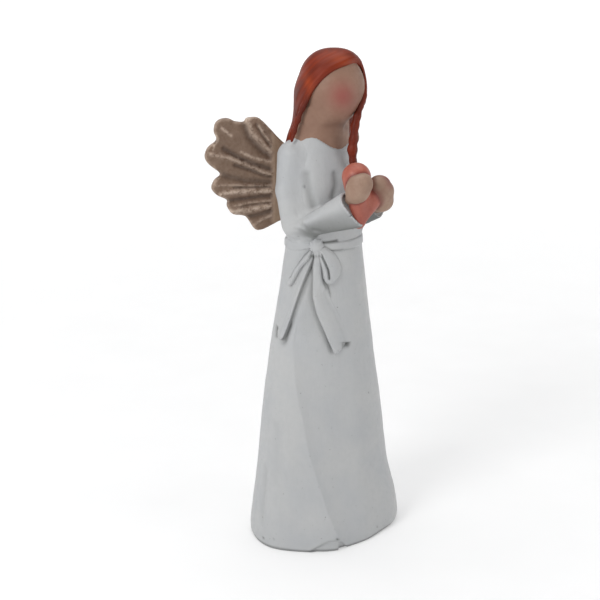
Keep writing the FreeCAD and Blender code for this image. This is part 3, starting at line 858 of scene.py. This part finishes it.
# ------------------------------------------------------------------ hair
def hair_outer(x, y, z):
    u, v, w = head_frame(x, y, z)
    u, v = u + 0.1 - 0.05 * v, v - 0.1
    flat = (np.abs(u / 13.45) ** 2.4 + np.abs(v / 15.9) ** 2.4) ** (2 / 2.4)
    dome = (np.sqrt(flat + ((w + 1.0) / 14.4) ** 2) - 1) * 13.0
    fall = soft_max(soft_max(hair_fall(x, y, z), z - 187, 6.0), 148 - z, 2.0)
    return soft_min(dome, fall, 3.0)


def strand_relief(across, along):
    """Low ridges that run along the hair."""
    waves = 0.045 * np.sin(across * 2.3 + 0.5 * np.sin(along * 0.25))
    return waves + 0.06 * noise(across * 2.2, along * 0.3, 0 * along, 1.4)


def hair_flow(x, y, z):
    """Coordinates across and along the strands: they follow the face edge and hang straight at the back."""
    u, v, w = head_frame(x, y, z)
    edge = -face_opening(u, v)
    around = np.arctan2(x - 1.5, y + 2.0) * 13.0
    front = smoothstep(-6, 3, w)
    return edge * front + around * (1 - front), v


def hair_field(x, y, z):
    outer = hair_outer(x, y, z)
    u, v, w = head_frame(x, y, z)
    opening = face_opening(u, v)
    window = np.minimum(opening, w + 3.0)
    thin = 0.55 + 1.0 * smoothstep(4, 10, u)
    outer = outer + thin * smoothstep(-2.5, 0.3, opening) * smoothstep(-3, 3, w)
    across, along = hair_flow(x, y, z)
    outer = outer + strand_relief(across, along)
    core = skull_gap(x, y, z) + 1.4
    result = soft_max(soft_max(outer, window, 0.9), swept_back(x, y, z), 1.2)
    return np.maximum(result, -core)


def hair_marks(piece, points, shade=0.0):
    across, along = hair_flow(*points.T)
    u, v, w = head_frame(*points.T)
    mark(piece, "across", across * MM)
    mark(piece, "along", along * MM)
    # Painted highlights on the crown and on the hair beside her right cheek.
    top = hump(u - 4.0 + 0.9 * (v - 10), 5.5) * hump(v - 9.5, 3.6)
    side = hump(u + 8.6 + 0.25 * (v + 1), 1.8) * hump(v + 0.5, 5.0)
    light = (0.7 * top + 0.7 * side) * smoothstep(0, 5, w)
    mark(piece, "light", light * (0.55 + 0.45 * noise(across * 2, along * 0.2, 0 * along, 1.2)))
    # Painted shade: a dark line along the hair's edge round the face, and shade darkens a whole lock.
    edge = hump(np.clip(across, 0, 9), 0.5) * smoothstep(-3, 1, w)
    mark(piece, "painted_shade_and_pits", np.clip(0.25 * edge + shade, 0, 1))


def build_hair():
    piece, points = sculpt("hair_cap", hair_field, (-16, -19, 145), (19, 18, 201), 0.42, HAIR)
    hair_marks(piece, points)
    locks = {
        "right": (
            (
                (-8.8, -4.0, 8.4), (-11.4, -8.4, 6.4), (-13.2, -12.6, 4.4), (-14.5, -16.6, 2.8),
                (-15.6, -20.4, 1.4),
            ),
            (0.7, 0.8, 0.9, 0.8, 0.5),
        ),
        "left": (
            ((12.6, 1.0, 1.0), (12.2, -3.0, 2.0), (11.0, -7.0, 2.6), (9.7, -11.0, 2.8), (8.8, -14.5, 2.4),
             (8.3, -19.8, 1.0), (7.9, -23.7, 0.0), (8.2, -28.2, -1.4), (8.0, -31.4, -2.8)),
            (0.7, 0.9, 1.1, 1.3, 1.5, 1.6, 1.8, 1.3, 0.5),
        ),
    }
    for side, (path, radii) in locks.items():
        spots = [from_head(*spot) for spot in path]

        def field(x, y, z, spots=spots, radii=radii):
            u, v, _ = head_frame(x, y, z)
            lock = tube((x, y, z), spots, radii, 1.2) + strand_relief(u * 1.2, v)
            joined = soft_min(lock, hair_field(x, y, z), 1.0) + 0.05 * smoothstep(0.2, 0.8, lock)
            return np.maximum(joined, lock - 1.2)

        low = np.min(spots, axis=0) - 4
        high = np.max(spots, axis=0) + 4
        piece, points = sculpt("hair_lock_" + side, field, low, high, 0.25, HAIR)
        hair_marks(piece, points, 0.06 if side == "left" else 0.0)


build_hair()

# ------------------------------------------------------------------ heart and hands
HEART_LOBES = (((-6.9, -28.4, 153.2), 5.5), ((4.2, -28.8, 148.2), 4.5))
HEART_TIP = ((-5.8, -28.6, 135.6), 1.9)


def heart_field(x, y, z):
    result = None
    for spot, radius in HEART_LOBES:
        gap, share = to_segment((x, y, z), spot, HEART_TIP[0])
        gap = gap - (radius + (HEART_TIP[1] - radius) * share**1.15)
        result = gap if result is None else soft_min(result, gap, 2.2)
    return result + 0.05 * noise(x, y, z, 3.0)


PALMS = {
    "right": {
        "path": ((-8.0, -27.0, 144.6), (-9.0, -31.4, 148.4), (-8.8, -32.8, 150.8), (-7.6, -33.4, 152.0)),
        "radii": (2.6, 4.0, 4.3, 3.3),
    },
    "left": {
        "path": ((7.1, -24.0, 139.6), (6.1, -27.6, 142.6), (4.3, -29.6, 146.6), (2.5, -30.2, 149.4)),
        "radii": (2.8, 4.3, 4.5, 3.6),
    },
}


def hand_field(side):
    palm = PALMS[side]

    def field(x, y, z):
        return tube((x, y, z), palm["path"], palm["radii"], 2.0) + 0.05 * noise(x, y, z, 2.4)

    return field


def build_hands():
    piece, points = sculpt("heart", heart_field, (-14, -36, 132), (11, -21, 161), 0.35, HEART)
    # Painted shade where the hands hold the heart and over its lower part.
    near = np.minimum(*(hand_field(side)(*points.T) for side in PALMS))
    shaded = 0.35 * smoothstep(147, 138, points[:, 2])
    mark(piece, "painted_shade_and_pits", np.maximum(0.8 * smoothstep(1.2, 0.0, near), shaded))
    for side, palm in PALMS.items():
        spots = np.array(palm["path"])
        low, high = spots.min(axis=0) - 6, spots.max(axis=0) + 6
        piece, points = sculpt("hand_" + side, hand_field(side), low, high, 0.35, LIT_SKIN)
        x, y, z = points.T
        # Painted shade where each hand meets the heart and the sleeve, and painted pink shade on the left hand
        # by the heart.
        by_heart = smoothstep(1.6, 0.0, heart_field(x, y, z))
        by_sleeve = smoothstep(1.0, 0.0, arm_gap(side, x, y, z))
        pink_shade = 0.7 * smoothstep(1.4, 0.2, heart_field(x, y, z)) if side == "left" else 0 * x
        mark(piece, "blush_and_pink_shade", np.clip(0.8 * pink_shade, 0, 1))
        mark(piece, "painted_shade_and_pits", np.clip(0.4 * by_heart + 0.4 * by_sleeve, 0, 1))


build_hands()

# ------------------------------------------------------------------ ribbon
BOW_TURN = math.radians(50)
BOW_ALONG = (math.cos(BOW_TURN), -math.sin(BOW_TURN))
BOW_OUT = (-math.sin(BOW_TURN), -math.cos(BOW_TURN))
BOW_UP = 123.2
# Outlines about the knot, seen from outside: (towards her front, above the knot).
LOOP_REAR = rounded((
    (-1.6, -0.9), (-3.6, -1.8), (-7.8, -7.2), (-11.4, -13.8), (-11.6, -16.2), (-9.6, -15.6), (-6.0, -8.8),
    (-2.4, -4.6),
))
LOOP_FRONT = rounded((
    (0.8, -0.2), (3.6, -0.6), (6.8, -3.6), (8.9, -8.4), (8.6, -12.0), (6.9, -14.5), (4.8, -15.2),
    (3.2, -13.6), (2.0, -8.4), (0.8, -3.6),
))
# Edges of the tails that sink softly into the gown.
TAIL_REAR_LOW = ((-3.6, -5.0), (-8.6, -16.0), (-12.6, -27.0), (-15.8, -36.0))
TAIL_FRONT_LOW = ((4.3, -18.4), (5.6, -21.0), (8.0, -26.0), (11.0, -33.6), (13.0, -40.0))
TAIL_REAR = rounded((
    (-1.2, -2.0), *TAIL_REAR_LOW, (-14.4, -38.0), (-12.6, -36.6), (-10.0, -29.6), (-7.2, -20.6),
    (-4.2, -12.0),
    (-1.4, -5.0),
), 3)
TAIL_FRONT = (
    (-0.6, -2.0), (-1.3, -8.0), (-1.1, -20.0), (0.6, -26.4), (3.6, -33.4), (7.6, -43.6), (10.2, -41.8),
    (10.0, -39.0), (13.2, -39.4), (11.0, -33.6), (8.0, -26.0), (4.3, -18.4), (2.9, -15.0), (2.2, -12.0),
    (1.6, -2.0),
)
# Slits in the loops: path, width and depth.
REAR_SLITS = ((((-2.2, -0.6), (-5.0, -3.6), (-9.0, -9.0), (-10.6, -12.4)), 0.45, 1.1),)
FRONT_SLITS = ((((1.8, -2.6), (3.4, -6.0), (4.7, -9.2), (5.2, -12.6)), 0.38, 1.1),)


def bow_frame(x, y, z):
    return x * BOW_ALONG[0] + y * BOW_ALONG[1], z - BOW_UP


def ribbon_field(outline, thick, edge, slits=(), sunk_side=()):
    inside = outline_table(outline)

    def field(x, y, z):
        t, rise = bow_frame(x, y, z)
        depth = inside(t, rise)
        share = np.clip(depth / edge, 0, 1)
        height = np.where(depth > 0, thick * np.sqrt(np.maximum(1 - (1 - share) ** 2, 0)), 1.6 * depth)
        for path, width, cut in slits:
            height = height - cut * hump(to_path((t, rise), path), width)
        if sunk_side:
            rise_up = 0.06 + 0.94 * smoothstep(0.0, 4.6, to_path((t, rise), sunk_side))
            height = np.where(depth > 0, height * rise_up, height)
        height = height + 0.04 * noise(x, y, z, 2.0)
        gap = gown_gap(x, y, z, carved=False)
        return np.maximum(gap - height, -gap - 1.3)

    return field


def knot_field(x, y, z):
    t, rise = bow_frame(x, y, z)
    out = x * BOW_OUT[0] + y * BOW_OUT[1]
    ball = ellipsoid(t + 0.3, rise - 0.1, out - 13.8, (2.9, 3.2, 2.9))
    around = np.arctan2(rise + 0.2, t + 0.3)
    ball = ball + 0.16 * np.cos(around * 9 + 0.8) * smoothstep(1.0, 3.0, np.hypot(t, rise))
    gathers = ellipsoid(t - 0.4, rise + 3.0, out - 13.9, (2.2, 1.9, 2.0)) + 0.2 * np.cos(t * 4.6)
    return np.maximum(soft_min(ball, gathers, 0.7), -gown_gap(x, y, z, carved=False) - 1.3)


def sash_field(x, y, z):
    turn, distance = bearing(x, y, z)
    degrees = np.degrees(turn)
    by_knot = hump(degrees - 50, 17)
    low = 121.2 + 1.6 * by_knot - 0.5 * hump(degrees + 40, 60)
    high = 124.4 - 0.5 * by_knot + 1.5 * hump(degrees - 86, 20)
    depth = np.minimum(z - low, high - z)
    share = np.clip(depth / 0.9, 0, 1)
    height = np.where(depth > 0, 0.5 * np.sqrt(np.maximum(1 - (1 - share) ** 2, 0)), depth)
    gap = gown_gap(x, y, z, carved=False)
    return np.maximum(gap - height, -gap - 1.0)


def build_ribbon():
    jobs = (
        ("bow_knot", knot_field, (-3.6, -6.0), (3.8, 4.2)),
        ("bow_loop_rear", ribbon_field(LOOP_REAR, 1.9, 1.7, REAR_SLITS), (-13, -18), (0, 1)),
        ("bow_loop_front", ribbon_field(LOOP_FRONT, 2.0, 2.6, FRONT_SLITS), (-1, -19), (10.5, 1.5)),
        ("ribbon_tail_rear", ribbon_field(TAIL_REAR, 1.3, 1.4, (), TAIL_REAR_LOW), (-16, -40), (1, -1)),
        ("ribbon_tail_front", ribbon_field(TAIL_FRONT, 1.2, 1.2, (), TAIL_FRONT_LOW), (-2.6, -45), (14.5, -1)),
    )
    for node, field, (t1, r1), (t2, r2) in jobs:
        corners = [
            (t * BOW_ALONG[0] + out * BOW_OUT[0], t * BOW_ALONG[1] + out * BOW_OUT[1])
            for t in (t1, t2)
            for out in (9.0, 23.0)
        ]
        low = (*np.min(corners, axis=0), BOW_UP + r1)
        high = (*np.max(corners, axis=0), BOW_UP + r2)
        piece, points = sculpt(node, field, low, high, 0.3, GOWN)
        gap = gown_gap(*points.T, carved=False)
        t, rise = bow_frame(points[:, 0], points[:, 1], points[:, 2])
        # Painted shade where the ribbon meets the gown, fading under the tails' sunken edges, in the slits and
        # under the knot.
        painted_shade = 0.35 * smoothstep(0.5, 0.0, gap)
        for low_side in (TAIL_REAR_LOW, TAIL_FRONT_LOW):
            painted_shade = painted_shade * smoothstep(0.6, 2.0, to_path((t, rise), low_side))
        slits = {"bow_loop_rear": REAR_SLITS, "bow_loop_front": FRONT_SLITS}.get(node, ())
        for path, width, _ in slits:
            painted_shade = np.maximum(painted_shade, 0.65 * hump(to_path((t, rise), path), width))
        # painted shade in the pit and gathers under the knot
        painted_shade = np.maximum(painted_shade, 0.9 * np.exp(-(((t + 1.5) ** 2 + (rise + 3.8) ** 2) / 0.8)))
        gathers = hump(rise + 3.7 - 0.12 * t, 0.6) * smoothstep(3.0, 2.0, np.abs(t - 0.3))
        painted_shade = np.maximum(painted_shade, 0.4 * gathers * (0.7 + 0.3 * np.cos(4.6 * t)))
        mark(piece, "painted_shade_and_pits", painted_shade)
    piece, points = sculpt("sash_band", sash_field, (-19, -15, 119), (19, 15, 127.5), 0.42, GOWN)
    x, y, z = points.T
    turn, _ = bearing(x, y, z)
    # The sash takes the gown's painted shade.
    mark(piece, "painted_shade_and_pits", 0.8 * GOWN_SHADE_AND_PITS(turn, z))


build_ribbon()

# ------------------------------------------------------------------ wings
SWEEP = math.radians(25)
WING_BACK, WING_UP = 12.8, 143.0
# Edge of the fan, out from the spine and above the wing's middle.
FAN = rounded(
    (
        (2, 14.4), (6, 15.6), (9.3, 18.0), (12.5, 21.3), (16.5, 25.8), (19.6, 27.9), (23.2, 27.7),
        (24.9, 26.4), (28.1, 26.7), (31.0, 28.0), (34.2, 27.9), (36.4, 26.1), (36.9, 23.0), (36.0, 19.8),
        (39.6, 17.0), (40.9, 13.6), (39.5, 10.6), (34.9, 6.4), (37.2, 3.8), (38.4, 0.7), (36.6, -1.9),
        (32.4, -4.4), (32.1, -7.4), (29.9, -10.3), (24.7, -11.8), (21.1, -17.0), (18.6, -17.6),
        (15.3, -16.5), (10.8, -14.2), (6, -13.2), (2, -12.6),
    ),
    4,
)
# Ridges and grooves of the feathers: path, width, height, how pale the dry brush leaves them, painted shade.
QUILLS = (
    (((23.3, 27.5), (21.3, 21.6), (17.4, 17.9), (13.8, 14.1)), 1.2, 0.9, 0.6, 0.0),
    (((18.7, 24.4), (14.9, 19.0), (12.1, 15.3)), 0.6, 0.6, 0.7, 0.0),
    (((19.9, 25.2), (17.3, 20.7), (14.1, 16.2)), 0.6, -0.7, 0.0, 0.6),
    (((17.9, 23.8), (14.1, 18.8), (11.3, 15.6)), 0.5, -0.5, 0.0, 0.4),
    (((24.8, 25.8), (22.4, 19.7), (17.4, 14.3), (14.2, 12.1)), 1.5, -1.0, 0.0, 0.6),
    (((33.1, 16.2), (26.3, 11.9), (19.9, 8.9), (13.8, 7.0)), 1.1, -1.1, 0.0, 0.75),
    (((38.6, 14.8), (30.3, 12.4), (23.1, 9.1), (16.3, 5.7), (13.9, 5.2)), 0.8, 0.9, 0.7, 0.0),
    (((28.8, 9.5), (22.4, 7.2), (16.7, 4.5), (13.9, 3.8)), 0.7, -0.8, 0.0, 0.75),
    (((35.4, 6.4), (30.5, 4.6), (24.4, 2.8), (14.3, 1.8)), 1.3, -1.2, 0.0, 0.55),
    (((36.6, 2.0), (30.5, 1.7), (18.4, 0.6), (14.7, 0.5)), 0.5, 0.6, 0.5, 0.0),
    (((29.3, 0.6), (23.3, 0.2), (14.7, 0.0)), 0.4, -0.6, 0.0, 0.9),
    (((34.6, -1.5), (28.6, -1.0), (16.8, -1.6), (13.9, -1.5)), 1.0, 0.9, 1.0, 0.0),
    (((32.0, -4.6), (24.6, -4.3), (18.5, -3.9), (14.0, -3.7)), 0.9, -1.1, 0.0, 0.8),
    (((29.1, -6.9), (23.4, -6.0), (14.4, -5.6)), 0.5, 0.5, 0.5, 0.0),
    (((26.6, -7.6), (22.6, -6.9), (14.4, -6.6)), 0.4, -0.5, 0.0, 0.6),
    (((30.7, -9.1), (23.4, -8.8), (14.4, -7.9)), 1.1, 0.8, 0.9, 0.0),
    (((24.2, -11.9), (18.5, -11.1), (13.2, -9.5)), 0.9, -1.0, 0.0, 0.7),
    (((21.1, -15.2), (17.8, -13.0), (13.6, -11.6)), 0.6, 0.5, 0.5, 0.0),
)
# Flecks of pale paint and dark pores on the feathers.
FLECKS = (
    ((26.3, 14.6), (21.1, 12.0)), ((19.8, 11.6), (14.6, 10.1)), ((34.0, 24.6), (30.2, 21.4)),
    ((36.4, 21.5), (37.6, 16.6)),
)
PORES = ((36.2, 19.6, 0.8), (20.8, 1.0, 0.5), (19.0, 0.9, 0.4), (17.0, 1.2, 0.4))


def wing_frame(side, x, y, z):
    """Out from the spine, above the wing's middle, and in front of the wing's plane."""
    sign = 1 if side == "left" else -1
    back = y - WING_BACK
    out = sign * x * math.cos(SWEEP) + back * math.sin(SWEEP)
    front = sign * x * math.sin(SWEEP) - back * math.cos(SWEEP)
    return out, z - WING_UP, front


def quill_sum(out, up, row):
    """What the ridges and grooves add up to: their height, their pale paint or their painted shade, with the
    dark pores.
    """
    total = np.zeros(out.shape)
    for path, width, *rest in QUILLS:
        cover = hump(to_path((out, up), path), width)
        total = total + rest[0] * cover if row == 0 else np.maximum(total, rest[row] * cover)
    if row == 1:
        for path in FLECKS:
            total = np.maximum(total, 0.8 * hump(to_path((out, up), path), 0.5))
    if row == 2:
        for place, height, size in PORES:
            total = np.maximum(total, hump(np.hypot(out - place, up - height), size))
    return total


FAN_SPAN = ((0.0, -20.0), (43.0, 30.0), (0.2, 0.2))
fan_edge = outline_table(FAN)
RELIEF, PALE, DARK = (Table(lambda out, up, row=row: quill_sum(out, up, row), *FAN_SPAN) for row in range(3))


def wing_field(side):
    sign = 1 if side == "left" else -1

    def field(x, y, z):
        out, up, front = wing_frame(side, x, y, z)
        edge = fan_edge(out, up)
        on_fan = smoothstep(12.6, 14.6, out)
        bend = 0.004 * (out - 12) ** 2 * smoothstep(8, 20, out)
        thick = 1.7 + 0.5 * (1 - on_fan) + 0.75 * RELIEF(out, up) * on_fan
        slab = soft_max(np.abs(front - bend) - thick, -edge, 1.1)
        bar = to_segment((x, y, z), (sign * 3.4, 13.2, 131.6), (sign * 3.4, 13.2, 155.6))[0] - 3.1
        joined = soft_min(slab, bar, 2.0)
        return np.maximum(joined, 0.08 - sign * x) + 0.07 * noise(x, y, z, 2.6)

    return field


def build_wings():
    for side, sign in (("right", -1), ("left", 1)):
        low, high = (-43, 6.0, 120), (0.6, 36, 176)
        if sign > 0:
            low, high = (-0.6, 6.0, 120), (43, 36, 176)
        piece, points = sculpt("wing_" + side, wing_field(side), low, high, 0.42, WING)
        out, up, front = wing_frame(side, *points.T)
        edge = fan_edge(out, up)
        on_fan = smoothstep(12.6, 14.6, out)
        rim = smoothstep(1.2, 0.2, edge)
        mark(piece, "ridge", np.clip(0.08 + PALE(out, up) + 0.45 * rim, 0, 1) * on_fan)
        # Painted shade in the feather grooves, and the dark pores.
        mark(piece, "painted_shade_and_pits", DARK(out, up) * on_fan)
        mark(piece, "root", 1 - on_fan)


build_wings()

# ------------------------------------------------------------------ floor, light and camera
floor_nodes = Nodes("floor_paint")
floor_grain = floor_nodes.noise(40.0, 2.0)
floor_nodes.shader.inputs["Emission Color"].default_value = (1, 1, 1, 1)
distance = floor_nodes.add("ShaderNodeVectorMath", operation="LENGTH")
floor_nodes.join(floor_nodes.place, distance.inputs[0])
glow = floor_nodes.fit(distance.outputs["Value"], 0.10, 1.6, 0.31, 0.60)
floor_nodes.put(floor_nodes.shader.inputs["Emission Strength"], glow)
floor_paint = floor_nodes.finish(
    floor_nodes.mix(floor_nodes.fit(floor_grain, 0.3, 0.7), (244, 244, 244), (247, 247, 247)), 0.9, 0.1
)


def build_floor():
    """A round floor that sweeps up all around, far from the figurine, without an edge."""
    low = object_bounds()[0].z / MM - 0.02
    profile = [(radius, 0.0) for radius in (0.5, 60, 400, 1100, 1900)]
    for step in range(1, 13):
        bend = step / 12 * math.pi / 2
        profile.append((1900 + 1300 * math.sin(bend), 1300 * (1 - math.cos(bend))))
    columns = 64
    turns = np.arange(columns) * 2 * math.pi / columns
    points = [(r * math.cos(t), r * math.sin(t), low + h) for r, h in profile for t in turns]
    index = np.arange(len(points)).reshape(len(profile), columns)
    after = np.roll(index, -1, axis=1)
    quads = np.stack([index[:-1], index[1:], after[1:], after[:-1]], axis=-1).reshape(-1, 4)
    build_mesh("floor", points, quads, floor_paint)


build_floor()


def area_light(name, place, aim, size, power, shade=(1, 1, 1)):
    data = bpy.data.lights.new(name, "AREA")
    data.shape = "DISK"
    data.size = size
    data.energy = power
    data.color = shade
    lamp = bpy.data.objects.new(name, data)
    lamp.location = Vector(place)
    lamp.rotation_mode = "QUATERNION"
    lamp.rotation_quaternion = (Vector(aim) - Vector(place)).to_track_quat("-Z", "Y")
    bpy.context.scene.collection.objects.link(lamp)


centre = (0.0, 0.0, 0.1)
area_light("key", (-0.66, -0.16, 0.60), centre, 0.35, 3.1)
area_light("fill", (0.55, -0.75, 0.35), centre, 0.7, 1.1)
area_light("roof", (0.3, 0.5, 2.6), (0.1, 0.1, 0.0), 3.2, 48.0)

world = bpy.data.worlds.new("studio")
world.use_nodes = True
world.node_tree.nodes["Background"].inputs[0].default_value = (0.93, 0.94, 0.96, 1)
world.node_tree.nodes["Background"].inputs[1].default_value = 0.22
scene = bpy.context.scene
scene.world = world
scene.view_settings.view_transform = "Standard"

camera_data = bpy.data.cameras.new("camera")
camera = bpy.data.objects.new("camera", camera_data)
# The camera looks along the head frame at the figurine's middle.
CAMERA_AWAY = 0.56
camera.location = Vector(centre) + CAMERA_AWAY * Vector(TOWARDS)
camera.rotation_mode = "QUATERNION"
camera.rotation_quaternion = (-Vector(TOWARDS)).to_track_quat("-Z", "Y")
camera_data.sensor_width = 36
camera_data.lens = 82.92
camera_data.shift_x = -0.0407
camera_data.shift_y = -0.0107
camera_data.clip_start, camera_data.clip_end = 0.02, 20
scene.collection.objects.link(camera)
scene.camera = camera
